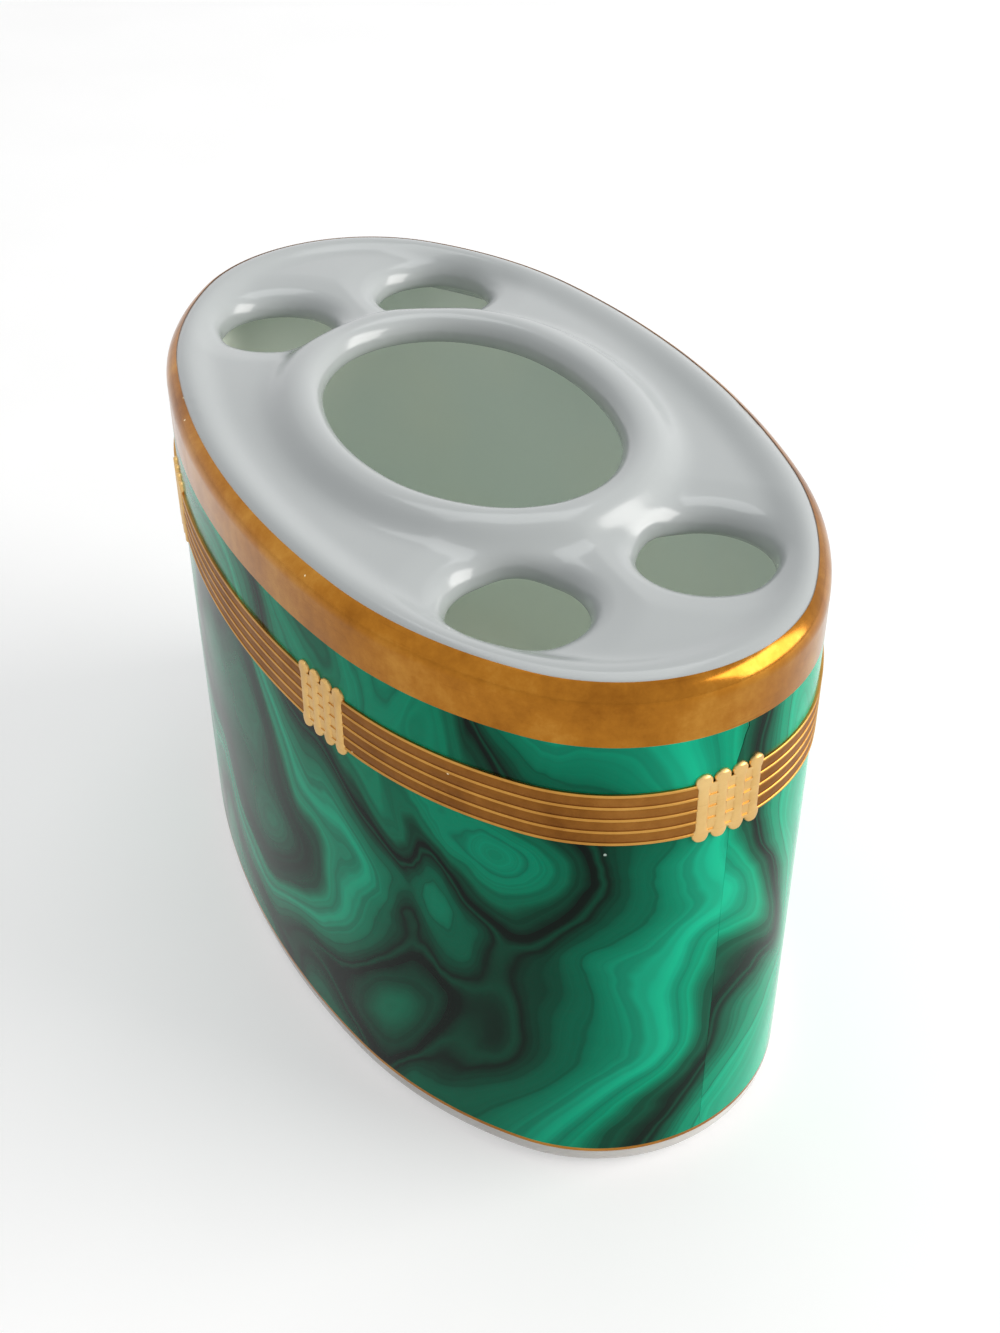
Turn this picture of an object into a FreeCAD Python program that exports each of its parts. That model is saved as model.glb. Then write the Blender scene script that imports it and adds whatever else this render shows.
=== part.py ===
"""Porcelain toothbrush holder: an oval well under a pierced top, with stone-pattern wraps and gilding.

Millimetres, +Z up, +X along the oval. The origin is under the middle of the foot, on the table.
"""
import FreeCAD, Part
import math
import os

V = FreeCAD.Vector
UP = V(0, 0, 1)
EASE = -1

# Central opening: its oval plan, which everything else is laid out from
opening_half_length = 24.4
opening_half_width = 16.7
opening_end_radius = 12.95
opening_end_turn_deg = 42.0
opening_side_turn_deg = 71.5

# Four brush holes with rolled edges, in pairs beyond the ends of the opening
brush_hole_radius = 7.8
brush_hole_gap = 5.5
brush_hole_web = 7.8
brush_hole_round = 2.5
brush_hole_under_round = 1.1

# Borders from the opening and the brush holes out to the wall, and the turns of the wall's oval plan
side_border = 16.9
end_border = 14.5
brush_hole_border = 4.3
end_turn_deg = 48.5
side_turn_deg = 76.0

# Body: wall, floor and foot ring
rim_height = 74.4
wall = 4.0
floor_thickness = 3.8
floor_round = 6.0
foot_recess = 1.2
foot_ring_width = 7.0
foot_round = 2.2
foot_recess_round = 0.8

# Seat between body and deck: a tongue under the deck sits in a rebate at the top of the wall
tongue_thickness = 1.8
tongue_length = 3.0
tongue_clearance = 0.1
seat_cover = 1.5

# Deck and rolled rim
deck_thickness = 4.4
deck_lap = 2.0
deck_under_round = 1.5
rim_rise = 0.9
rim_round = 2.6
rim_spread = 4.8

# Collar of the central opening
collar_rise = 2.4
collar_round = 2.6
collar_spread = 6.5
collar_thickness = 4.0
collar_under_round = 1.3

# Most that a rolled edge may take of the porcelain beside it
border_roll_share = 0.62
web_roll_share = 0.45
depth_roll_share = 0.95
under_roll_share = 0.3

# Stone-pattern wraps, butted near both ends of the oval
wrap_thickness = 0.15
wrap_seam = 0.2
wrap_seam_shift = 2.5
foot_height = 3.6

# Gilt rim band, which turns over the shoulder of the rim, and gilt foot line
gilt_thickness = 0.15
rim_band_depth = 7.5
rim_band_lap = 1.4
foot_line_width = 0.5

# Gilt reeded band: reeds lie between fine ridges
green_strip = 6.1
reed_band_height = 6.9
reed_count = 4
reed_bed = 0.1
reed_rise = 0.28
reed_shoulder_share = 0.25
ridge_width = 0.36
ridge_rise = 0.34

# Cord ties across the reeded band, evenly spaced round the wall from a start near the +X end
tie_count = 6
tie_start = 2.0
cord_count = 4
cord_width = 1.6
cord_gap = 0.6
cord_rise = 0.5
cord_overhang = 1.2

# Every cut runs this far past what it cuts, and points closer than the second value are one point
overrun = 1.0
same_point = 1e-6
same_throat = 1e-4

# Plan sizes that follow from the sizes above
brush_hole_x = opening_half_length + brush_hole_gap + brush_hole_radius
brush_hole_y = brush_hole_web / 2 + brush_hole_radius
half_length = brush_hole_x + brush_hole_radius + end_border
half_width = opening_half_width + side_border
# The end arc passes both brush holes at their border and meets the end of the oval
end_reach = end_border ** 2 + brush_hole_y ** 2 - brush_hole_border ** 2
end_radius = brush_hole_radius + end_reach / (2 * (end_border - brush_hole_border))

# Heights that follow from the sizes above
deck_top = rim_height - rim_rise
deck_under = deck_top - deck_thickness
collar_top = deck_top + collar_rise
floor_top = foot_recess + floor_thickness
rim_band_bottom = rim_height - rim_band_depth
seat_height = rim_band_bottom + seat_cover
reed_top = rim_band_bottom - green_strip
reed_bottom = reed_top - reed_band_height
reed_pitch = (reed_band_height - ridge_width) / reed_count
cord_pitch = cord_width + cord_gap
reed_face = wrap_thickness + reed_bed
ridge_face = wrap_thickness + ridge_rise


def oval(half_long, half_wide, end_r, end_turn, side_turn):
    """Eight tangent arcs, anticlockwise from the +X end: (centre, radius, start angle, sweep)."""
    end_cos, end_sin = math.cos(end_turn), math.sin(end_turn)
    side_cos, side_sin = math.cos(side_turn), math.sin(side_turn)
    # The quarter and side radii solve two linear equations, so that the arcs reach both half sizes
    along = -(half_long - end_r) - end_r * end_cos
    across = half_wide - end_r * end_sin
    det = (side_cos - end_cos) * (1 - side_sin) + side_cos * (side_sin - end_sin)
    quarter_r = (along * (1 - side_sin) + side_cos * across) / det
    side_r = ((side_cos - end_cos) * across - (side_sin - end_sin) * along) / det
    end_x = half_long - end_r
    quarter_x = end_x - (quarter_r - end_r) * end_cos
    quarter_y = -(quarter_r - end_r) * end_sin
    side_y = half_wide - side_r
    bend = side_turn - end_turn
    flat = math.pi - 2 * side_turn
    return [
        (V(end_x, 0, 0), end_r, -end_turn, 2 * end_turn),
        (V(quarter_x, quarter_y, 0), quarter_r, end_turn, bend),
        (V(0, side_y, 0), side_r, side_turn, flat),
        (V(-quarter_x, quarter_y, 0), quarter_r, math.pi - side_turn, bend),
        (V(-end_x, 0, 0), end_r, math.pi - end_turn, 2 * end_turn),
        (V(-quarter_x, -quarter_y, 0), quarter_r, math.pi + end_turn, bend),
        (V(0, -side_y, 0), side_r, math.pi + side_turn, flat),
        (V(quarter_x, -quarter_y, 0), quarter_r, -side_turn, bend),
    ]


def facing(angle):
    return V(math.cos(angle), math.sin(angle), 0)


def at_length(arcs, length, offset):
    """Point and outward direction on an oval, measured along it anticlockwise from its +X end."""
    whole = sum(radius * sweep for _, radius, _, sweep in arcs)
    left = (length + arcs[0][1] * arcs[0][3] / 2) % whole
    for centre, radius, start, sweep in arcs:
        outward = facing(start + left / radius)
        if left <= radius * sweep:
            break
        left -= radius * sweep
    return centre + outward * (radius + offset), outward


def plate(arcs, offset, low, high):
    """Flat-faced solid inside an oval that is offset outward, between two heights."""
    edges = []
    for centre, radius, start, sweep in arcs:
        stops = [centre + facing(start + sweep * share) * (radius + offset) for share in (0, 0.5, 1)]
        edges.append(Part.Arc(*stops).toShape())
    face = Part.Face(Part.Wire(edges))
    face.translate(V(0, 0, low))
    return face.extrude(V(0, 0, high - low))


def section(corners, origin, outward):
    """Face on a vertical plane through corners (outward, height, radius), rounded where a radius is given.

    EASE in place of a radius bends the side to the next corner into an S, level at both ends.
    """
    points = [origin + outward * out + UP * height for out, height, _ in corners]
    count = len(points)
    back = [(points[i - 1] - points[i]).normalize() for i in range(count)]
    ahead = [(points[(i + 1) % count] - points[i]).normalize() for i in range(count)]
    half_angle = [back[i].getAngle(ahead[i]) / 2 for i in range(count)]
    rounds = [max(radius, 0) for _, _, radius in corners]
    reach = [radius / math.tan(half) for radius, half in zip(rounds, half_angle)]
    # A rounding that is too long for its side is limited to the room that the side has
    limit = [1.0] * count
    for i in range(count):
        j = (i + 1) % count
        wanted = reach[i] + reach[j]
        room = points[i].distanceToPoint(points[j])
        if wanted > room:
            limit[i] = min(limit[i], room / wanted)
            limit[j] = min(limit[j], room / wanted)
    edges = []
    last = points[-1] + ahead[-1] * (reach[-1] * limit[-1])
    for i in range(count):
        before = points[i] + back[i] * (reach[i] * limit[i])
        after = points[i] + ahead[i] * (reach[i] * limit[i])
        if corners[i - 1][2] == EASE:
            half = outward * ((corners[i][0] - corners[i - 1][0]) / 2)
            bend = Part.BezierCurve()
            bend.setPoles([last, last + half, before - half, before])
            edges.append(bend.toShape())
        elif not before.isEqual(last, same_point):
            edges.append(Part.LineSegment(last, before).toShape())
        if reach[i] > 0:
            inward = (back[i] + ahead[i]).normalize()
            radius = rounds[i] * limit[i]
            crown = points[i] + inward * (radius / math.sin(half_angle[i]) - radius)
            edges.append(Part.Arc(before, crown, after).toShape())
        last = after
    return Part.Face(Part.Wire(edges))


def one_solid(shape):
    solids = shape.removeSplitter().Solids
    if len(solids) != 1:
        raise ValueError("expected one solid, got %d" % len(solids))
    return solids[0]


def ring(arcs, corners):
    """Solid made by carrying a section round an oval."""
    spans = []
    for centre, radius, start, sweep in arcs:
        outward = facing(start)
        face = section(corners, centre + outward * radius, outward)
        spans.append(face.revolve(centre, UP, math.degrees(sweep)))
    return one_solid(spans[0].multiFuse(spans[1:]))


def turned(corners, place, outward):
    """Solid of revolution of a section about the upright axis through a place."""
    return section(corners, place, outward).revolve(place, UP, 360)


wall_oval = oval(half_length, half_width, end_radius, math.radians(end_turn_deg), math.radians(side_turn_deg))
opening_oval = oval(opening_half_length, opening_half_width, opening_end_radius,
                    math.radians(opening_end_turn_deg), math.radians(opening_side_turn_deg))
brush_holes = [V(brush_hole_x * end, brush_hole_y * side, 0) for end in (1, -1) for side in (1, -1)]


def make_body():
    """Straight wall with a rounded foot ring, a rebate for the deck and a floor."""
    inner = -wall
    rebate = inner + tongue_thickness + tongue_clearance
    rebate_bottom = seat_height - tongue_length - tongue_clearance
    reach = -foot_ring_width - foot_round
    shell = ring(wall_oval, [
        (0, seat_height, 0),
        (0, 0, foot_round),
        (-foot_ring_width, 0, foot_recess_round),
        (-foot_ring_width, foot_recess, foot_recess_round),
        (reach - floor_round, foot_recess, 0),
        (reach - floor_round, floor_top, 0),
        (inner, floor_top, floor_round),
        (inner, rebate_bottom, 0),
        (rebate, rebate_bottom, 0),
        (rebate, seat_height, 0),
    ])
    floor = plate(wall_oval, reach - floor_round, foot_recess, floor_top)
    return one_solid(shell.fuse(floor))


def make_rim():
    """Rolled rim with the deck's edge inside it and the seating tongue below it."""
    slope = -rim_round - rim_spread
    tongue = -wall + tongue_thickness
    return ring(wall_oval, [
        (0, seat_height, 0),
        (0, rim_height, rim_round),
        (-rim_round, rim_height, EASE),
        (slope, deck_top, 0),
        (slope - deck_lap, deck_top, 0),
        (slope - deck_lap, deck_under, 0),
        (-wall, deck_under, deck_under_round),
        (-wall, seat_height - tongue_length, 0),
        (tongue, seat_height - tongue_length, 0),
        (tongue, seat_height, 0),
    ])


def make_collar():
    """Rolled lip of the central opening, of even thickness, that swells up out of the deck."""
    slope = collar_round + collar_spread
    under = collar_top - collar_thickness
    return ring(opening_oval, [
        (0, under, collar_under_round),
        (0, collar_top, collar_round),
        (collar_round, collar_top, EASE),
        (slope, deck_top, 0),
        (slope + deck_lap, deck_top, 0),
        (slope + deck_lap, deck_under, 0),
        (slope, deck_under, EASE),
        (collar_round, under, 0),
    ])


def throat_edges(deck, place, level, above):
    """Edges where a brush hole's wall ends, above or below a level."""
    found = []
    for edge in deck.Edges:
        middle = edge.valueAt((edge.FirstParameter + edge.LastParameter) / 2)
        spots = [middle] + [vertex.Point for vertex in edge.Vertexes]
        gaps = [math.hypot(spot.x - place.x, spot.y - place.y) - brush_hole_radius for spot in spots]
        on_wall = max(abs(gap) for gap in gaps) < same_throat
        if on_wall and (middle.z > level) == above and not isinstance(edge.Curve, Part.Line):
            found.append(edge)
    return found


def make_deck():
    """Flat middle, rim and collar in one, then the brush holes with edges rolled along the relief."""
    flat = plate(wall_oval, -rim_round - rim_spread - deck_lap, deck_under, deck_top)
    flat = flat.cut(plate(opening_oval, collar_round + collar_spread + deck_lap,
                          deck_under - overrun, deck_top + overrun))
    deck = flat.multiFuse([make_rim(), make_collar()])
    height = collar_top - deck_under + 2 * overrun
    for place in brush_holes:
        deck = deck.cut(Part.makeCylinder(brush_hole_radius, height, place + UP * (deck_under - overrun)))
    deck = one_solid(deck)
    under_roll = min(brush_hole_under_round, deck_thickness * under_roll_share)
    top_roll = min(brush_hole_round, brush_hole_border * border_roll_share, brush_hole_web * web_roll_share,
                   (deck_thickness - under_roll) * depth_roll_share)
    level = deck_top - deck_thickness / 2
    for roll, above in ((under_roll, False), (top_roll, True)):
        edges = [edge for place in brush_holes for edge in throat_edges(deck, place, level, above)]
        deck = deck.makeFillet(roll, edges)
    return one_solid(deck)


def make_wraps():
    """Front and back transfer sheets, from the foot line up to the rim band."""
    sheet = plate(wall_oval, wrap_thickness, foot_height, rim_band_bottom)
    sheet = sheet.cut(plate(wall_oval, 0, 0, rim_height))
    reach = half_length + overrun
    seam = Part.makeBox(2 * reach, wrap_seam, rim_height, V(-reach, wrap_seam_shift - wrap_seam / 2, 0))
    halves = sorted(sheet.cut(seam).Solids, key=lambda solid: solid.CenterOfMass.y)
    return halves[0], halves[1]


def make_rim_band():
    """Gilt skin up the wall and over the rounded shoulder of the rim."""
    skin = ring(wall_oval, [
        (0, rim_band_bottom, 0),
        (gilt_thickness, rim_band_bottom, 0),
        (gilt_thickness, rim_height + gilt_thickness, rim_round + gilt_thickness),
        (-rim_round, rim_height + gilt_thickness, 0),
        (-rim_round, rim_height, 0),
        (0, rim_height, rim_round),
    ])
    return one_solid(skin.cut(plate(wall_oval, -rim_band_lap, 0, rim_height + overrun)))


def make_foot_line():
    line = plate(wall_oval, gilt_thickness, foot_height - foot_line_width, foot_height)
    return one_solid(line.cut(plate(wall_oval, 0, 0, rim_height)))


def make_reed_band():
    """Rounded reeds that lie in a shallow bed between fine upright-sided ridges."""
    corners = [(wrap_thickness, reed_bottom, 0)]
    face = wrap_thickness + reed_rise
    shoulder = (reed_pitch - ridge_width) * reed_shoulder_share
    for i in range(reed_count + 1):
        low = reed_bottom + i * reed_pitch
        high = low + ridge_width
        corners += [(ridge_face, low, 0), (ridge_face, high, 0)]
        if i < reed_count:
            next_ridge = low + reed_pitch
            corners += [(reed_face, high, 0), (face, high + shoulder, 0),
                        (face, next_ridge - shoulder, 0), (reed_face, next_ridge, 0)]
    corners.append((wrap_thickness, reed_top, 0))
    return ring(wall_oval, corners)


def make_tie(number, reed_band):
    """Group of round-ended upright cords that sit on the reeds and, past them, on the wrap."""
    whole = sum(radius * sweep for _, radius, _, sweep in wall_oval)
    cord_radius = cord_width / 2
    low = reed_bottom - cord_overhang
    high = reed_top + cord_overhang
    wall_core = plate(wall_oval, wrap_thickness, 0, rim_height)
    cords = []
    for i in range(cord_count):
        along = tie_start + whole * number / tie_count + (i - (cord_count - 1) / 2) * cord_pitch
        place, outward = at_length(wall_oval, along, wrap_thickness + cord_rise - cord_radius)
        cord = turned([
            (0, low, 0),
            (cord_radius, low, cord_radius),
            (cord_radius, high, cord_radius),
            (0, high, 0),
        ], place, -outward)
        cords.append(one_solid(cord.cut(wall_core).cut(reed_band)))
    return Part.Compound(cords)


def main():
    front, back = make_wraps()
    reed_band = make_reed_band()
    nodes = {
        "porcelain_body": make_body(),
        "porcelain_deck": make_deck(),
        "malachite_wrap_front": front,
        "malachite_wrap_back": back,
        "gilt_rim_band": make_rim_band(),
        "gilt_reed_band": reed_band,
        "gilt_foot_line": make_foot_line(),
    }
    for number in range(tie_count):
        nodes["gilt_tie_%d" % (number + 1)] = make_tie(number, reed_band)
    os.makedirs("parts", exist_ok=True)
    for name, shape in nodes.items():
        shape.exportStep("parts/%s.step" % name)


main()
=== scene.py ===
import math

import bpy
import numpy as np
from mathutils import Matrix, Vector


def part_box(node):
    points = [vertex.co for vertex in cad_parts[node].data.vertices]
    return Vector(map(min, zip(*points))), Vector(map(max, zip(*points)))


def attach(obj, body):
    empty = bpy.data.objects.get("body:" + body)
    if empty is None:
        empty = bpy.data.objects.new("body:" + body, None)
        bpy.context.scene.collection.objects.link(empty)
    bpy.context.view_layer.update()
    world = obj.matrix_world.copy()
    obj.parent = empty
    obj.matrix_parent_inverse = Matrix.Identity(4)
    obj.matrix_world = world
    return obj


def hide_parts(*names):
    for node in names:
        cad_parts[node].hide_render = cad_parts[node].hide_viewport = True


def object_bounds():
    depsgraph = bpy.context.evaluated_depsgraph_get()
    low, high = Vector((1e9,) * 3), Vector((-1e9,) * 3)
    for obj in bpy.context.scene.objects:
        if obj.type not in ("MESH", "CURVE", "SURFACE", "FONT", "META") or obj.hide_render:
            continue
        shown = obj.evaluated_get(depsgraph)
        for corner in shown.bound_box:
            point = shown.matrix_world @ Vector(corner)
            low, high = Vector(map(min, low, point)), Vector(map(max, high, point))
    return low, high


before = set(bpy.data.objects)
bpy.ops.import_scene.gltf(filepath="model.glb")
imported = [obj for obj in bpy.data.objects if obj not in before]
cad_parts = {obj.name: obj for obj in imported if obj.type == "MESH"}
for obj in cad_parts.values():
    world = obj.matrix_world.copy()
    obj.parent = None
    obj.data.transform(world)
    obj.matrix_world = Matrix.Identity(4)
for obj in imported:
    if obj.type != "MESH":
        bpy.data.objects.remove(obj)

MM = 0.001
CM = 10 * MM
cad_low, cad_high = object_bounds()

# Oval plan of the wall, as in the CAD model; its half sizes come from the frame
body_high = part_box("porcelain_body")[1]
wrap_low, wrap_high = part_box("malachite_wrap_back")
rim_low, rim_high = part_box("gilt_rim_band")
reed_low, reed_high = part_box("gilt_reed_band")
foot_low, foot_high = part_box("gilt_foot_line")
tie_low, tie_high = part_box("gilt_tie_1")
end_radius = 23.91 * MM
end_turn = math.radians(48.5)
side_turn = math.radians(76.0)
station_count = 720
corner_steps = 8
sharp_angle = math.radians(40)

# Body section
wall = 4.0 * MM
floor_top = 5.0 * MM
floor_round = 6.0 * MM
floor_inset = 15.0 * MM
foot_recess = 1.2 * MM
foot_ring_width = 7.0 * MM
foot_round = 2.2 * MM
foot_margin = 0.2 * MM
recess_round = 0.8 * MM
# Strength of the inner glaze's painted glow, which stands in for light through the thin wall
inner_painted_glow = 0.05

# Deck: brush holes that dip softly into the glaze
hole_x = 37.7 * MM
hole_y = 11.7 * MM
hole_radius = 7.8 * MM
dimple_depth = 0.6 * MM
dimple_reach = 6.5 * MM
dimple_rim_start = 1.5 * MM
dimple_rim_end = 6.0 * MM
wave_height = 0.13 * MM
wave_length = 8.0 * MM
wave_breadth = 6.5 * MM
wave_phase = 0.6
upper_start = 5.0 * MM
upper_end = 2.5 * MM
remesh_size = 0.42 * MM
smooth_factor = 0.5
smooth_passes = 9
skirt_draw = 0.3 * MM
skirt_blend = 0.6 * MM
shoulder_ease = 0.12 * MM
shoulder_width = 3.2 * MM

# Gilding: the rim's skin, the ridges with reeds between them, and the ties with their cords and barred cells
rim_round = 2.6 * MM
rim_lap = 1.4 * MM
shoulder_steps = 16
gilt_thickness = 0.15 * MM
wrap_thickness = wrap_high.y - body_high.y
ridge_count = 5
ridge_width = 0.36 * MM
ridge_bevel = ridge_width * 0.22
ridge_rise = 0.34 * MM
ridge_pitch = (reed_high.z - reed_low.z - ridge_width) / (ridge_count - 1)
reed_bed = 0.2 * MM
reed_rise = 0.28 * MM
reed_fullness = 0.5
reed_steps = 9
tie_count = 6
tie_start = 2.0 * MM
cord_count = 4
cord_pitch = 2.2 * MM
cord_waist = 1.45 * MM
cord_rise = 0.5 * MM
cord_fullness = 0.55
cord_rings = 72
cord_sides = 14
lobe_radius = 1.02 * MM
lobe_flat = 0.01 * MM
lobe_steepness = 1.6
cell_width = cord_pitch / 2
cell_rise = 0.3 * MM
bar_rise = 0.42 * MM

# Stone-pattern wraps: they meet beside both ends of the oval, and part a little above the reeded band.
# A wave of the seam has a share, a rate per millimetre of height and a phase
seam_shift = 2.5 * MM
seam_gap = 0.03 * MM
seam_open = 0.14 * MM
seam_lean = 1.2 * MM
seam_wander = 0.1 * MM
seam_reach = 8.0 * MM
seam_waves = ((1.0, 2.3, 0.0), (0.6, 5.7, 1.0))
wrap_columns = 420
wrap_rows = 96
back_sheet_slip = 2.0 * MM

# Stone pattern, laid out in centimetres along and up the wall. A warp has a noise scale and a reach
stone_seed = 75.7
stone_stretch = (1.0, 0.74, 1.0)
stone_warps = ((0.21, 3.6), (0.62, 1.1), (2.4, 0.1))
swell_scale = 0.26
swell_bands = 5.0
lean_along = 0.2
lean_up = -0.06
streak_rate = 9.0
depth_rate = 0.75
# Span along the wall, in centimetres, from painted shade on the stone's bands to painted light on them
shade_to_light_start = -7.0
shade_to_light_end = 1.0

# Hairline scratches in the gold run along the bands
scratch_stretch = (60.0, 60.0, 4200.0)
scratch_dulling = 0.1

# Floor and light
floor_size = 12.0
floor_drop = 0.02 * MM
floor_glow = 0.43
sky_colour = (0.985, 0.99, 1.0, 1.0)
sky_light = 0.42
sky_seen = 1.0

# Camera, from the fit of the oval and the bands to the photograph
image_long_side = 1333.0
sensor_long_side = 36.0
focal_pixels = 1708.2
camera_azimuth = math.radians(64.552)
camera_elevation = math.radians(36.832)
camera_roll = math.radians(0.254)
camera_distance = 255.98 * MM
camera_right = 3.62 * MM
camera_down = -27.82 * MM
camera_clip = 10.0 * MM


def srgb(red, green, blue):
    """Linear colour with alpha from 0 to 255 display values."""
    def linear(value):
        share = value / 255
        return share / 12.92 if share <= 0.04045 else ((share + 0.055) / 1.055) ** 2.4
    return (linear(red), linear(green), linear(blue), 1.0)


def smoothstep(low, high, value):
    """Smooth rise from 0 to 1 between two values."""
    share = np.clip((value - low) / (high - low), 0, 1)
    return share * share * (3 - 2 * share)


def oval_stations(half_long, half_wide, count):
    """Points and outward directions round the eight-arc oval, from its +X end, and its perimeter."""
    end_cos, end_sin = math.cos(end_turn), math.sin(end_turn)
    side_cos, side_sin = math.cos(side_turn), math.sin(side_turn)
    along = -(half_long - end_radius) - end_radius * end_cos
    across = half_wide - end_radius * end_sin
    det = (side_cos - end_cos) * (1 - side_sin) + side_cos * (side_sin - end_sin)
    quarter_r = (along * (1 - side_sin) + side_cos * across) / det
    side_r = ((side_cos - end_cos) * across - (side_sin - end_sin) * along) / det
    end_x = half_long - end_radius
    quarter_x = end_x - (quarter_r - end_radius) * end_cos
    quarter_y = -(quarter_r - end_radius) * end_sin
    side_y = half_wide - side_r
    bend = side_turn - end_turn
    flat = math.pi - 2 * side_turn
    arcs = [
        (end_x, 0, end_radius, 0, end_turn),
        (quarter_x, quarter_y, quarter_r, end_turn, bend),
        (0, side_y, side_r, side_turn, flat),
        (-quarter_x, quarter_y, quarter_r, math.pi - side_turn, bend),
        (-end_x, 0, end_radius, math.pi - end_turn, 2 * end_turn),
        (-quarter_x, -quarter_y, quarter_r, math.pi + end_turn, bend),
        (0, -side_y, side_r, math.pi + side_turn, flat),
        (quarter_x, -quarter_y, quarter_r, -side_turn, bend),
        (end_x, 0, end_radius, -end_turn, end_turn),
    ]
    whole = sum(arc[2] * arc[4] for arc in arcs)
    stations, directions = [], []
    for length in np.arange(count) * whole / count:
        left = length
        for x, y, radius, start, sweep in arcs:
            if left <= radius * sweep:
                break
            left -= radius * sweep
        angle = start + left / radius
        facing = np.array([math.cos(angle), math.sin(angle), 0])
        stations.append(np.array([x, y, 0]) + facing * radius)
        directions.append(facing)
    return np.array(stations), np.array(directions), whole


points, outward, perimeter = oval_stations(body_high.x, body_high.y, station_count)


def station_at(length):
    """Point and outward direction at an arc length, between stations."""
    share = length / perimeter * station_count
    first = math.floor(share)
    blend = share - first
    a, b = first % station_count, (first + 1) % station_count
    facing = outward[a] * (1 - blend) + outward[b] * blend
    return points[a] * (1 - blend) + points[b] * blend, facing / np.linalg.norm(facing)


def rim_inset(place):
    """Distance of points inward from the wall's oval."""
    inset = np.full(len(place), np.inf)
    for point, facing in zip(points, outward):
        inset = np.minimum(inset, -((place - point) @ facing))
    return inset


def rounded(corners):
    """Points of a closed section from corners (outward, height, radius), with arcs at the rounded ones."""
    path = []
    for i, (out, height, radius) in enumerate(corners):
        here = np.array([out, height])
        if radius <= 0:
            path.append(here)
            continue
        back = np.array(corners[i - 1][:2]) - here
        ahead = np.array(corners[(i + 1) % len(corners)][:2]) - here
        back, ahead = back / np.linalg.norm(back), ahead / np.linalg.norm(ahead)
        half = math.acos(np.clip(back @ ahead, -1, 1)) / 2
        centre = here + (back + ahead) / np.linalg.norm(back + ahead) * radius / math.sin(half)
        first = here + back * radius / math.tan(half) - centre
        last = here + ahead * radius / math.tan(half) - centre
        turn = math.pi - 2 * half
        for step in range(corner_steps + 1):
            share = step / corner_steps
            path.append(centre + (first * math.sin((1 - share) * turn) + last * math.sin(share * turn))
                        / math.sin(turn))
    return np.array(path)


def new_object(name, vertices, faces, materials, face_slots=None):
    """Smooth-shaded mesh object with sharp edges above an angle."""
    mesh = bpy.data.meshes.new(name)
    mesh.from_pydata([tuple(v) for v in vertices], [], faces)
    for material in materials:
        mesh.materials.append(material)
    if face_slots is not None:
        mesh.polygons.foreach_set("material_index", face_slots)
    mesh.shade_smooth()
    mesh.set_sharp_from_angle(angle=sharp_angle)
    mesh.update()
    obj = bpy.data.objects.new(name, mesh)
    bpy.context.scene.collection.objects.link(obj)
    return obj


def ring_faces(size):
    """Quads of a closed section of a given size at each station, joined to a closed ring."""
    faces = []
    for i in range(station_count):
        a, b = i * size, (i + 1) % station_count * size
        for k in range(size):
            n = (k + 1) % size
            faces.append((a + n, b + n, b + k, a + k))
    return faces


def swept_vertices(section):
    """Section points (outward, height) at each station of the wall's oval."""
    base = points[:, None, :] + outward[:, None, :] * section[None, :, 0, None]
    base = base + np.array([0, 0, 1.0]) * section[None, :, 1, None]
    return base.reshape(-1, 3)


def swept_ring(name, section, materials, face_slots=None):
    """Closed ring of a section that is carried round the wall's oval."""
    return new_object(name, swept_vertices(section), ring_faces(len(section)), materials, face_slots)


def dress(obj, slot, *nodes):
    """Ties a new piece to the frame: it rides on the one body and stands for its CAD nodes."""
    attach(obj, "root")
    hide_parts(*nodes)


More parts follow.
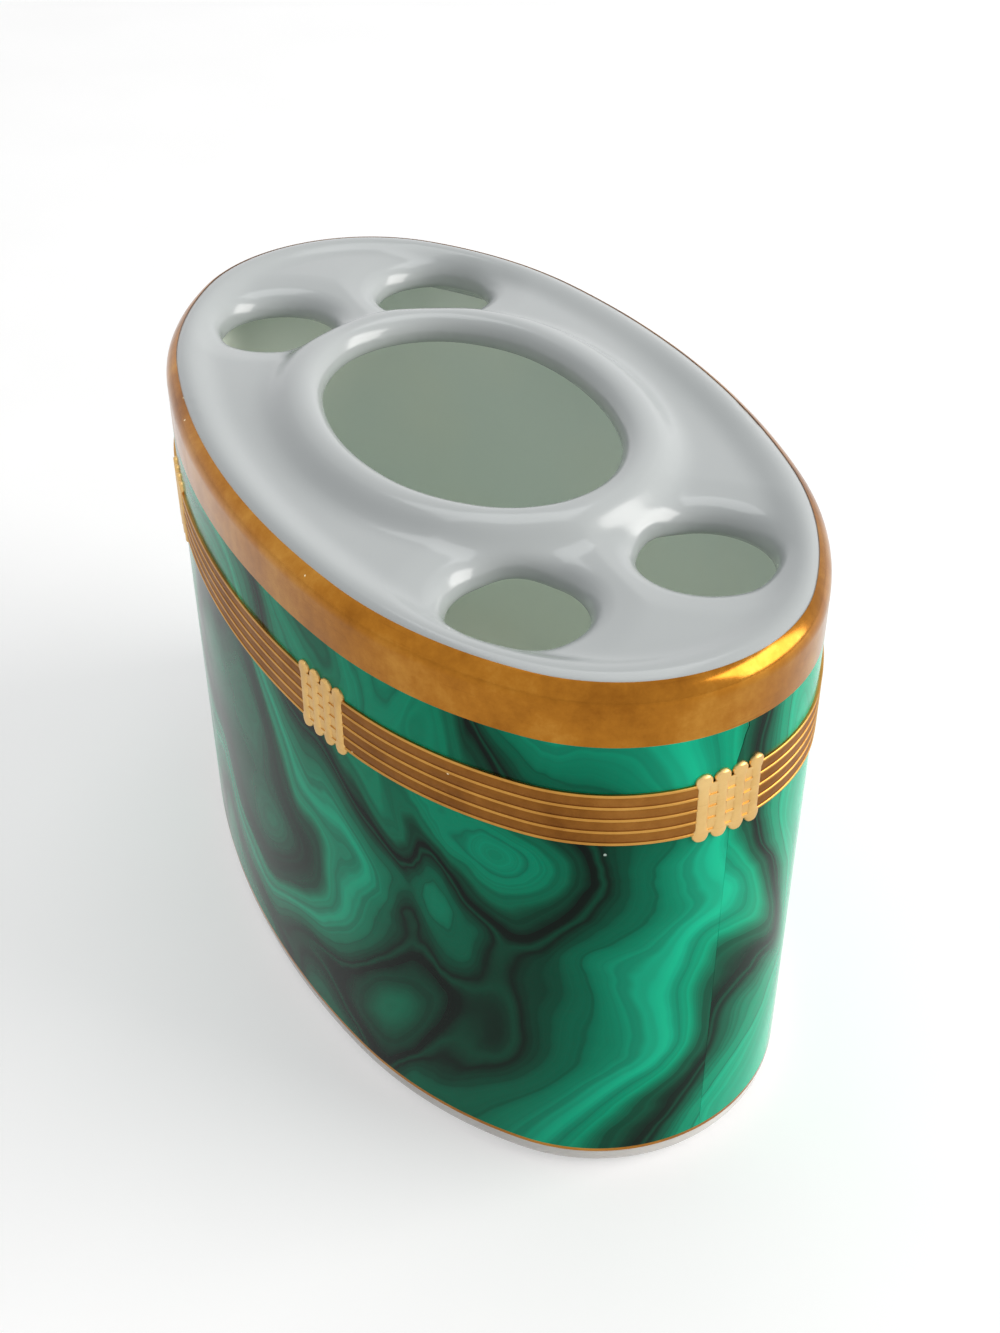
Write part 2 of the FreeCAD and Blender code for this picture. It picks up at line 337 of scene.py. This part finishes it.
class Shader:
    """Small helper for building one node material."""

    def __init__(self, name):
        self.material = bpy.data.materials.new(name)
        self.material.use_nodes = True
        self.tree = self.material.node_tree
        self.surface = self.tree.nodes["Principled BSDF"]

    def add(self, kind, links=(), **settings):
        """New node with values for its sockets or its own settings, and links into its sockets."""
        node = self.tree.nodes.new(kind)
        for key, value in settings.items():
            if key in node.inputs:
                node.inputs[key].default_value = value
            else:
                setattr(node, key, value)
        for socket, source in dict(links).items():
            self.tree.links.new(source, node.inputs[socket])
        return node

    def set(self, **values):
        """Plain values on the surface's sockets, with _ for a space in their names."""
        for key, value in values.items():
            self.surface.inputs[key.replace("_", " ")].default_value = value

    def feed(self, socket, source):
        self.tree.links.new(source, self.surface.inputs[socket])

    def put(self, socket, value):
        """Sets a socket to a plain value or links it to another node's output."""
        if isinstance(value, (int, float, tuple)):
            socket.default_value = value
        else:
            self.tree.links.new(value, socket)

    def math(self, operation, first, second=None):
        node = self.add("ShaderNodeMath", operation=operation)
        self.put(node.inputs[0], first)
        if second is not None:
            self.put(node.inputs[1], second)
        return node.outputs[0]

    def vector(self, operation, first, second):
        node = self.add("ShaderNodeVectorMath", operation=operation)
        self.put(node.inputs[0], first)
        self.put(node.inputs[1], second)
        return node.outputs[0]

    def scaled(self, source, factor):
        node = self.add("ShaderNodeVectorMath", operation="SCALE")
        self.put(node.inputs[0], source)
        self.put(node.inputs["Scale"], factor)
        return node.outputs[0]

    def split(self, source):
        return self.add("ShaderNodeSeparateXYZ", {"Vector": source}).outputs

    def noise(self, coordinates, scale, detail, roughness=0.5, output=0):
        node = self.add("ShaderNodeTexNoise", {"Vector": coordinates}, Scale=scale, Detail=detail,
                        Roughness=roughness)
        return node.outputs[output]

    def noise_1d(self, source, detail, roughness):
        node = self.add("ShaderNodeTexNoise", {"W": source}, noise_dimensions="1D", Scale=1.0,
                        Detail=detail, Roughness=roughness)
        return node.outputs[0]

    def ramp(self, source, stops, smooth=False):
        """Colour or grey value between stops (place, value)."""
        node = self.tree.nodes.new("ShaderNodeValToRGB")
        node.color_ramp.interpolation = "EASE" if smooth else "LINEAR"
        elements = node.color_ramp.elements
        while len(elements) < len(stops):
            elements.new(0.5)
        for element, (place, colour) in zip(elements, stops):
            element.position = place
            element.color = colour if isinstance(colour, tuple) else (colour, colour, colour, 1)
        self.tree.links.new(source, node.inputs[0])
        return node.outputs[0]

    def mix(self, factor, first, second, blend="MIX"):
        """Mix of two colours; sockets 6 and 7 of the node are its colours, and output 2 the result."""
        node = self.add("ShaderNodeMix", data_type="RGBA", blend_type=blend)
        self.put(node.inputs[0], factor)
        self.put(node.inputs[6], first)
        self.put(node.inputs[7], second)
        return node.outputs[2]

    def position(self):
        return self.add("ShaderNodeTexCoord").outputs["Object"]

    def specks(self, coordinates, scale, size, keep):
        """A share of the cells, given by keep, holds a round speck; its size is a share of the cell's."""
        cells = self.add("ShaderNodeTexVoronoi", {"Vector": coordinates}, Scale=scale)
        near = self.math("LESS_THAN", cells.outputs["Distance"], size)
        parts = self.add("ShaderNodeSeparateColor", {"Color": cells.outputs["Color"]})
        return self.math("MULTIPLY", near, self.math("GREATER_THAN", parts.outputs[0], 1 - keep))

    def bump(self, height, strength, distance):
        node = self.add("ShaderNodeBump", {"Height": height}, Strength=strength, Distance=distance)
        self.feed("Normal", node.outputs[0])


def deck_glaze():
    """White gloss glaze with slow drifts of tone, faint orange-peel and a few fired-in specks."""
    shader = Shader("porcelain_glaze")
    place = shader.position()
    drift = shader.noise(place, scale=28.0, detail=3.0)
    tone = shader.ramp(drift, [(0.1, srgb(172, 177, 177)), (0.9, srgb(184, 188, 188))])
    specks = shader.specks(place, scale=260.0, size=0.075, keep=0.006)
    shader.feed("Base Color", shader.mix(specks, tone, srgb(92, 88, 82)))
    rough = shader.noise(place, scale=60.0, detail=3.0)
    shader.feed("Roughness", shader.ramp(rough, [(0.0, 0.17), (1.0, 0.265)]))
    peel = shader.noise(place, scale=900.0, detail=2.0)
    shader.bump(peel, strength=0.04, distance=0.05 * MM)
    shader.set(IOR=1.45, Coat_Weight=0.5, Coat_Roughness=0.13)
    return shader.material


def well_glaze():
    """Thin inner glaze, sage with yellower patches, with a painted glow above the foot in place of light
    through the wall, and a bare white foot.
    """
    shader = Shader("well_glaze")
    place = shader.position()
    drift = shader.noise(place, scale=22.0, detail=3.0)
    tone = shader.ramp(drift, [(0.35, srgb(228, 239, 231)), (0.65, srgb(236, 241, 227))])
    grain = shader.noise(place, scale=120.0, detail=4.0)
    white = shader.ramp(grain, [(0.3, srgb(226, 220, 214)), (0.7, srgb(240, 237, 232))])
    height = shader.split(place)[2]
    foot_top = floor_top - foot_margin
    colour = shader.mix(shader.math("LESS_THAN", height, foot_top), tone, white)
    specks = shader.specks(place, scale=150.0, size=0.06, keep=0.012)
    shader.feed("Base Color", shader.mix(specks, colour, srgb(110, 118, 104)))
    shader.feed("Roughness", shader.ramp(drift, [(0.2, 0.12), (0.8, 0.26)]))
    peel = shader.noise(place, scale=500.0, detail=3.0)
    shader.bump(peel, strength=0.05, distance=0.05 * MM)
    # Painted glow: the glaze above the foot gives off a little light in its own tone
    shader.feed("Emission Color", tone)
    shader.feed("Emission Strength", shader.ramp(height, [(foot_top, 0.0), (floor_top, inner_painted_glow)]))
    shader.set(IOR=1.5)
    return shader.material


def malachite():
    """Banded green stone pattern: nested bands follow a slowly warped field, under a gloss glaze, with
    painted shade towards one side of the holder and painted light towards the other.
    """
    shader = Shader("malachite")
    wall_place = shader.add("ShaderNodeAttribute", attribute_name="wall_place").outputs["Vector"]
    warped = shader.vector("MULTIPLY", wall_place, stone_stretch)
    for scale, reach in stone_warps:
        drift = shader.noise(warped, scale, detail=1.0, output="Color")
        shift = shader.scaled(shader.vector("SUBTRACT", drift, (0.5, 0.5, 0.5)), reach)
        warped = shader.vector("ADD", warped, shift)
    # Closed contours of slow noise, leaning along the wall so that some bands run on as flows
    swell = shader.math("MULTIPLY", shader.noise(warped, swell_scale, detail=0.0), swell_bands)
    along, up = shader.split(warped)[:2]
    lean = shader.math("ADD", shader.math("MULTIPLY", along, lean_along),
                       shader.math("MULTIPLY", up, lean_up))
    field = shader.math("ADD", swell, lean)
    tone = shader.ramp(shader.math("FRACT", field), [
        (0.0, srgb(10, 22, 16)),
        (0.035, srgb(12, 32, 23)),
        (0.06, srgb(12, 84, 60)),
        (0.085, srgb(12, 38, 27)),
        (0.12, srgb(6, 78, 56)),
        (0.22, srgb(0, 120, 88)),
        (0.42, srgb(0, 158, 118)),
        (0.6, srgb(0, 184, 140)),
        (0.76, srgb(2, 146, 108)),
        (0.9, srgb(8, 100, 72)),
        (1.0, srgb(10, 48, 34)),
    ])
    # Thin bands that run along the main ones
    streak = shader.noise_1d(shader.math("MULTIPLY", field, streak_rate), detail=4.0, roughness=0.6)
    streak = shader.ramp(streak, [(0.3, 0.55), (0.5, 0.95), (0.72, 1.25)])
    tone = shader.mix(1.0, tone, streak, "MULTIPLY")
    # Whole bands that are darker or paler than the rest; the dark ones weigh more towards one side of the
    # holder as painted shade, and the pale ones towards the other side as painted light
    depth = shader.noise_1d(shader.math("MULTIPLY", field, depth_rate), detail=1.0, roughness=0.5)
    span = {"From Min": shade_to_light_start, "From Max": shade_to_light_end}
    side = shader.add("ShaderNodeMapRange", {"Value": shader.split(wall_place)[0]}, **span).outputs[0]
    # Painted shade: dark bands count for more towards the low end of the span
    dark_band_and_shade = shader.ramp(depth, [(0.58, 0.0), (0.72, 0.8)], smooth=True)
    dark_band_and_shade = shader.math("MULTIPLY", dark_band_and_shade, shader.ramp(side, [(0.0, 1.0), (1.0, 0.3)]))
    tone = shader.mix(dark_band_and_shade, tone, srgb(8, 46, 33))
    # Painted light: pale bands count for more towards the high end of the span
    pale_band_and_light = shader.ramp(depth, [(0.38, 0.85), (0.54, 0.0)], smooth=True)
    pale_band_and_light = shader.math("MULTIPLY", pale_band_and_light, shader.ramp(side, [(0.0, 0.3), (1.0, 1.0)]))
    tone = shader.mix(pale_band_and_light, tone, srgb(36, 218, 172))
    place = shader.position()
    specks = shader.specks(place, scale=330.0, size=0.07, keep=0.007)
    shader.feed("Base Color", shader.mix(specks, tone, srgb(205, 226, 214)))
    rough = shader.noise(place, scale=80.0, detail=3.0)
    shader.feed("Roughness", shader.ramp(rough, [(0.3, 0.12), (0.75, 0.22)]))
    peel = shader.noise(place, scale=600.0, detail=2.0)
    shader.bump(peel, strength=0.04, distance=0.05 * MM)
    shader.set(IOR=1.4, Specular_IOR_Level=0.1)
    return shader.material


def gilt(name, bright, mid, deep, roughness, grain, grain_strength):
    """Fired gold: faint mottling, worn specks, hairline scratches along the band and a fine grain."""
    polished, dull = roughness
    shader = Shader(name)
    place = shader.position()
    cloud = shader.noise(place, scale=45.0, detail=8.0, roughness=0.72)
    colour = shader.ramp(cloud, [(0.25, deep), (0.5, mid), (0.75, bright)])
    lines = shader.vector("MULTIPLY", place, scratch_stretch)
    lines = shader.noise(lines, scale=1.0, detail=3.0, roughness=0.6)
    scratch = shader.ramp(lines, [(0.62, 0.0), (0.74, 0.35)])
    colour = shader.mix(scratch, colour, deep)
    worn_spots = shader.specks(place, scale=620.0, size=0.09, keep=0.03)
    shader.feed("Base Color", shader.mix(worn_spots, colour, srgb(240, 222, 186)))
    rough = shader.noise(place, scale=160.0, detail=4.0, roughness=0.6)
    worn = shader.ramp(rough, [(0.3, polished), (0.75, dull)])
    scratched = (dull + scratch_dulling,) * 3 + (1.0,)
    shader.feed("Roughness", shader.mix(scratch, worn, scratched))
    texture = shader.noise(place, scale=grain, detail=3.0, roughness=0.6)
    shader.bump(texture, strength=grain_strength, distance=0.04 * MM)
    shader.set(Metallic=1.0)
    return shader.material


# Apart from hairlines, the roughness of each finish stays on one side of 0.27, because a surface that
# crosses it gets faint outlines when the render is denoised
porcelain_glaze = deck_glaze()
inner_glaze = well_glaze()
stone = malachite()
bright_gilt = gilt("bright_gilt", srgb(206, 152, 68), srgb(168, 109, 36), srgb(114, 62, 15),
                   roughness=(0.14, 0.26), grain=1400.0, grain_strength=0.06)
ridge_gilt = gilt("ridge_gilt", srgb(210, 160, 84), srgb(192, 140, 67), srgb(160, 107, 47),
                  roughness=(0.29, 0.4), grain=1400.0, grain_strength=0.1)
etched_gilt = gilt("etched_gilt", srgb(170, 117, 55), srgb(142, 92, 38), srgb(108, 64, 22),
                   roughness=(0.45, 0.6), grain=2200.0, grain_strength=0.8)
cord_gilt = gilt("cord_gilt", srgb(234, 200, 138), srgb(220, 180, 114), srgb(192, 146, 82),
                 roughness=(0.32, 0.46), grain=1800.0, grain_strength=0.3)


def make_well():
    """Body with its foot ring, floor and inner wall, swept round the oval and closed at the middle."""
    top = body_high.z
    section = rounded([
        (0, top, 0),
        (0, 0, foot_round),
        (-foot_ring_width, 0, recess_round),
        (-foot_ring_width, foot_recess, recess_round),
        (-floor_inset, foot_recess, 0),
        (-floor_inset, floor_top, 0),
        (-wall, floor_top, floor_round),
        (-wall, top, 0),
    ])
    size = len(section)
    inner = [k for k in range(size) if np.isclose(section[k, 0], -floor_inset)]
    faces = [f for f in ring_faces(size) if {f[0] % size, f[2] % size} != set(inner)]
    for k, turn in ((inner[0], -1), (inner[1], 1)):
        faces.append([i * size + k for i in range(station_count)][::turn])
    well = new_object("porcelain_well", swept_vertices(section), faces, [inner_glaze])
    dress(well, "porcelain", "porcelain_body")


def make_deck():
    """Pierced top: the CAD deck remeshed, smoothed like thick glaze and dimpled softly at its holes."""
    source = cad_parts["porcelain_deck"]
    deck = bpy.data.objects.new("glazed_deck", source.data.copy())
    bpy.context.scene.collection.objects.link(deck)
    remesh = deck.modifiers.new("even", "REMESH")
    remesh.mode = "VOXEL"
    remesh.voxel_size = remesh_size
    soften = deck.modifiers.new("soften", "SMOOTH")
    soften.factor = smooth_factor
    soften.iterations = smooth_passes
    graph = bpy.context.evaluated_depsgraph_get()
    mesh = bpy.data.meshes.new_from_object(deck.evaluated_get(graph))
    deck.modifiers.clear()
    deck.data = mesh
    place = np.zeros(len(mesh.vertices) * 3)
    mesh.vertices.foreach_get("co", place)
    place = place.reshape(-1, 3)
    holes = np.hypot(np.abs(place[:, 0]) - hole_x, np.abs(place[:, 1]) - hole_y) - hole_radius
    inside = rim_inset(place)
    near = 1 - smoothstep(0, dimple_reach, holes)
    border = smoothstep(dimple_rim_start, dimple_rim_end, inside)
    upper = smoothstep(rim_high.z - upper_start, rim_high.z - upper_end, place[:, 2])
    waves = np.sin(place[:, 0] / wave_length + wave_phase) * np.cos(place[:, 1] / wave_breadth) - 1
    place[:, 2] += (wave_height * waves - dimple_depth * near) * border * upper
    # The deck draws back a little under the gilding, so that no glaze shows through it
    middle = place[:, :2] / np.linalg.norm(place[:, :2], axis=1)[:, None]
    ease = shoulder_ease * (1 - smoothstep(shoulder_width / 2, shoulder_width, inside))
    # Its skirt stays inside the wall, so that the two surfaces don't cross in the well
    skirt = skirt_draw * (1 - smoothstep(body_high.z - skirt_blend, body_high.z, place[:, 2]))
    place[:, :2] += middle * (skirt - ease)[:, None]
    place[:, 2] -= ease * upper
    mesh.vertices.foreach_set("co", place.ravel())
    mesh.materials.clear()
    mesh.materials.append(porcelain_glaze)
    mesh.shade_smooth()
    mesh.update()
    dress(deck, "porcelain", "porcelain_deck")


def seam_place(length, height, side):
    """Arc length moved so that a sheet's edge leans, wanders and parts from the other at the seen seam."""
    upper = smoothstep(reed_high.z, wrap_high.z, height)
    near = 1 - smoothstep(0, seam_reach, abs(length - seam_shift))
    wander = sum(share * math.sin(height / MM * rate + phase) for share, rate, phase in seam_waves)
    gap = seam_gap + (seam_open - seam_gap) * upper
    shift = seam_lean * upper + seam_wander * wander * upper + side * gap / 2
    return length + near * shift


def make_wrap(name, node, side, last, slip):
    """Sheet of the stone-pattern transfer from the seen seam to an arc length, with its place kept on it."""
    heights = np.linspace(wrap_low.z, wrap_high.z, wrap_rows)
    vertices, places = [], []
    for layer in (wrap_thickness, 0.0):
        for length in np.linspace(seam_shift, last, wrap_columns):
            for height in heights:
                moved = seam_place(length, height, side)
                spot, facing = station_at(moved)
                spot = spot + facing * layer
                vertices.append((spot[0], spot[1], height))
                places.append(((moved + slip) / CM, height / CM, stone_seed))

    def at(layer, j, i):
        return (layer * wrap_columns + j) * wrap_rows + i

    faces = []
    for j in range(wrap_columns - 1):
        for i in range(wrap_rows - 1):
            outer = [at(0, j, i), at(0, j + 1, i), at(0, j + 1, i + 1), at(0, j, i + 1)]
            inner = [at(1, j, i + 1), at(1, j + 1, i + 1), at(1, j + 1, i), at(1, j, i)]
            faces += [outer[::side], inner[::side]]
        for i, turn in ((0, -1), (wrap_rows - 1, 1)):
            edge = [at(0, j, i), at(0, j + 1, i), at(1, j + 1, i), at(1, j, i)]
            faces.append(edge[::side * turn])
    for j, turn in ((0, 1), (wrap_columns - 1, -1)):
        for i in range(wrap_rows - 1):
            edge = [at(0, j, i), at(0, j, i + 1), at(1, j, i + 1), at(1, j, i)]
            faces.append(edge[::side * turn])
    wrap = new_object(name, vertices, faces, [stone])
    layer = wrap.data.attributes.new("wall_place", "FLOAT_VECTOR", "POINT")
    layer.data.foreach_set("vector", np.array(places, np.float32).ravel())
    dress(wrap, "malachite", node)


def shoulder(radius):
    """Arc over the rim's shoulder, from the wall up to the lap, about the centre of the rim's rounding."""
    turn = math.acos((rim_round - rim_lap) / radius)
    centre = np.array([-rim_round, rim_high.z - gilt_thickness - rim_round])
    angles = np.linspace(0, turn, shoulder_steps + 1)
    return [centre + radius * np.array([math.cos(angle), math.sin(angle)]) for angle in angles]


def make_rim_band():
    """Gilt skin up the wall and over the rounded shoulder of the rim."""
    inner = [(0, rim_low.z)] + shoulder(rim_round)
    outer = [(gilt_thickness, rim_low.z)] + shoulder(rim_round + gilt_thickness)
    section = np.array(inner + outer[::-1])
    dress(swept_ring("gilt_rim", section, [bright_gilt]), "gilt", "gilt_rim_band")


def make_reed_band():
    """Etched reeds between bright fine ridges."""
    crest = wrap_thickness + ridge_rise
    section, slots = [], []
    for i in range(ridge_count):
        foot = reed_low.z + i * ridge_pitch
        head = foot + ridge_width
        section += [(crest - ridge_bevel, foot), (crest, foot + ridge_bevel),
                    (crest, head - ridge_bevel), (crest - ridge_bevel, head)]
        slots += [0] * 4
        if i < ridge_count - 1:
            gap = foot + ridge_pitch - head
            for share in np.linspace(0, 1, reed_steps):
                swell = reed_bed + (reed_rise - reed_bed) * math.sin(math.pi * share) ** reed_fullness
                section.append((wrap_thickness + swell, head + gap * share))
            slots += [1] * (reed_steps - 1) + [0]
    section += [(wrap_thickness, reed_high.z), (wrap_thickness, reed_low.z)]
    slots += [0, 0]
    section = np.array(section)[::-1]
    slots = slots[::-1]
    face_slots = (slots[1:] + slots[:1]) * station_count
    band = swept_ring("gilt_reeds", section, [ridge_gilt, etched_gilt], face_slots)
    dress(band, "gilt", "gilt_reed_band")


def make_foot_line():
    """Thin flat line above the foot."""
    section = np.array([
        (0, foot_low.z),
        (0, foot_high.z),
        (gilt_thickness, foot_high.z),
        (gilt_thickness, foot_low.z),
    ])
    dress(swept_ring("gilt_foot", section, [bright_gilt]), "gilt", "gilt_foot_line")


def add_cord(vertices, faces, length):
    """Half-round cord at an arc length, narrow in the middle and lobed at both ends."""
    place, facing = station_at(length)
    tangent = np.array([-facing[1], facing[0], 0])
    low, high = tie_low.z, tie_high.z
    first = len(vertices)
    for i in range(cord_rings + 1):
        share = 0.5 - 0.5 * math.cos(math.pi * i / cord_rings)
        height = low + lobe_flat + (high - low - 2 * lobe_flat) * share
        end = min(height - low, high - height)
        lobe = math.sqrt(max(lobe_radius ** 2 - (end - lobe_radius) ** 2, 0))
        width = max(lobe, cord_waist / 2 if end > lobe_radius else 0)
        rise = cord_rise * min(1, lobe / lobe_radius * lobe_steepness if end < lobe_radius else 1)
        for k in range(cord_sides + 1):
            angle = math.pi * k / cord_sides
            crown = math.sin(angle) ** cord_fullness if 0 < k < cord_sides else 0
            spot = place + facing * (wrap_thickness + rise * crown) + tangent * (math.cos(angle) * width)
            vertices.append((spot[0], spot[1], height))
    size = cord_sides + 1
    for i in range(cord_rings):
        a, b = first + i * size, first + (i + 1) * size
        for k in range(cord_sides):
            faces.append((a + k, b + k, b + k + 1, a + k + 1))
        faces.append((a + cord_sides, b + cord_sides, b, a))
    last = first + cord_rings * size
    faces += [[first + k for k in range(size)], [last + k for k in range(size)][::-1]]


def add_block(vertices, faces, middle, heights, rises):
    """Small block on the wall between two cords, from one height and one rise to another."""
    first = len(vertices)
    for length in (middle - cell_width / 2, middle + cell_width / 2):
        place, facing = station_at(length)
        for rise in rises:
            spot = place + facing * (wrap_thickness + rise)
            vertices += [(spot[0], spot[1], height) for height in heights]
    for corners in ((2, 3, 1, 0), (5, 7, 6, 4), (1, 5, 4, 0), (6, 7, 3, 2), (4, 6, 2, 0), (3, 7, 5, 1)):
        faces.append([first + k for k in corners])


def make_tie(number):
    """Four cords side by side over the reeds, with a flat cell and five bars in each gap between two."""
    middle = tie_start + perimeter * number / tie_count
    vertices, faces = [], []
    for cord in range(cord_count):
        add_cord(vertices, faces, middle + (cord - (cord_count - 1) / 2) * cord_pitch)
    for gap in range(1, cord_count):
        between = middle + (gap - cord_count / 2) * cord_pitch
        add_block(vertices, faces, between, (reed_low.z, reed_high.z), (0, cell_rise))
        for i in range(ridge_count):
            foot = reed_low.z + i * ridge_pitch
            add_block(vertices, faces, between, (foot, foot + ridge_width), (cell_rise / 2, bar_rise))
    tie = new_object("gilt_tie_knot_%d" % (number + 1), vertices, faces, [cord_gilt])
    dress(tie, "gilt", "gilt_tie_%d" % (number + 1))


make_well()
make_deck()
make_wrap("malachite_back", "malachite_wrap_back", 1, perimeter / 2 - seam_shift, back_sheet_slip)
make_wrap("malachite_front", "malachite_wrap_front", -1, -perimeter / 2 - seam_shift, 0.0)
make_rim_band()
make_reed_band()
make_foot_line()
for tie_number in range(tie_count):
    make_tie(tie_number)


def seen_rays(tree):
    """1 for rays from the camera, a mirror or glass, and 0 for those that light the holder."""
    rays = tree.nodes.new("ShaderNodeLightPath")
    seen = rays.outputs["Is Camera Ray"]
    for kind in ("Is Glossy Ray", "Is Transmission Ray"):
        either = tree.nodes.new("ShaderNodeMath")
        either.operation = "ADD"
        either.use_clamp = True
        tree.links.new(seen, either.inputs[0])
        tree.links.new(rays.outputs[kind], either.inputs[1])
        seen = either.outputs[0]
    return seen


# Paper and world look white to the eye and to mirrors, and throw less light than that on the holder
reach = floor_size / 2
level = cad_low.z - floor_drop
floor_mesh = bpy.data.meshes.new("floor")
floor_mesh.from_pydata([
    (-reach, -reach, level),
    (reach, -reach, level),
    (reach, reach, level),
    (-reach, reach, level),
], [], [(0, 1, 2, 3)])
floor = bpy.data.objects.new("floor", floor_mesh)
bpy.context.scene.collection.objects.link(floor)
paper = Shader("floor_paper")
fibre = paper.noise(paper.position(), scale=30.0, detail=2.0)
paper.feed("Base Color", paper.ramp(fibre, [(0.3, 0.6), (0.7, 0.62)]))
paper.feed("Emission Strength", paper.math("MULTIPLY", seen_rays(paper.tree), floor_glow))
paper.set(Roughness=0.9, Emission_Color=(1.0, 1.0, 1.0, 1.0))
floor_mesh.materials.append(paper.material)

world = bpy.data.worlds.new("studio")
bpy.context.scene.world = world
world.use_nodes = True
sky = world.node_tree.nodes["Background"]
sky.inputs["Color"].default_value = sky_colour
sky_strength = world.node_tree.nodes.new("ShaderNodeMapRange")
sky_strength.inputs["To Min"].default_value = sky_light
sky_strength.inputs["To Max"].default_value = sky_seen
world.node_tree.links.new(seen_rays(world.node_tree), sky_strength.inputs["Value"])
world.node_tree.links.new(sky_strength.outputs[0], sky.inputs["Strength"])


def softbox(name, place, size, power, colour):
    """Square area light aimed at the middle of the holder."""
    lamp = bpy.data.lights.new(name, "AREA")
    lamp.shape = "SQUARE"
    lamp.size = size
    lamp.energy = power
    lamp.color = colour
    obj = bpy.data.objects.new(name, lamp)
    obj.location = place
    aim = Vector((0, 0, cad_high.z / 2)) - Vector(place)
    obj.rotation_mode = "QUATERNION"
    obj.rotation_quaternion = aim.to_track_quat("-Z", "Y")
    bpy.context.scene.collection.objects.link(obj)


softbox("key", place=(0.6, 1.0, 0.65), size=1.0, power=16.0, colour=(1.0, 0.98, 0.95))
softbox("overhead", place=(-0.3, 0.14, 1.05), size=0.7, power=2.6, colour=(0.97, 0.99, 1.0))

# Camera: its back, right and down directions, rolled a little about the view
back = Vector((math.sin(camera_azimuth) * math.cos(camera_elevation),
               -math.cos(camera_azimuth) * math.cos(camera_elevation),
               math.sin(camera_elevation)))
level_right = (-back).cross(Vector((0, 0, 1))).normalized()
level_down = (-back).cross(level_right)
right = level_right * math.cos(camera_roll) + level_down * math.sin(camera_roll)
down = level_down * math.cos(camera_roll) - level_right * math.sin(camera_roll)
camera_place = back * camera_distance + right * camera_right + down * camera_down
camera_turn = Matrix((right, -down, back)).transposed().to_4x4()
camera = bpy.data.objects.new("camera", bpy.data.cameras.new("camera"))
camera.data.sensor_width = sensor_long_side
camera.data.lens = focal_pixels / image_long_side * sensor_long_side
camera.data.clip_start = camera_clip
camera.matrix_world = Matrix.Translation(camera_place) @ camera_turn
bpy.context.scene.collection.objects.link(camera)
bpy.context.scene.camera = camera
bpy.context.scene.view_settings.view_transform = "Standard"
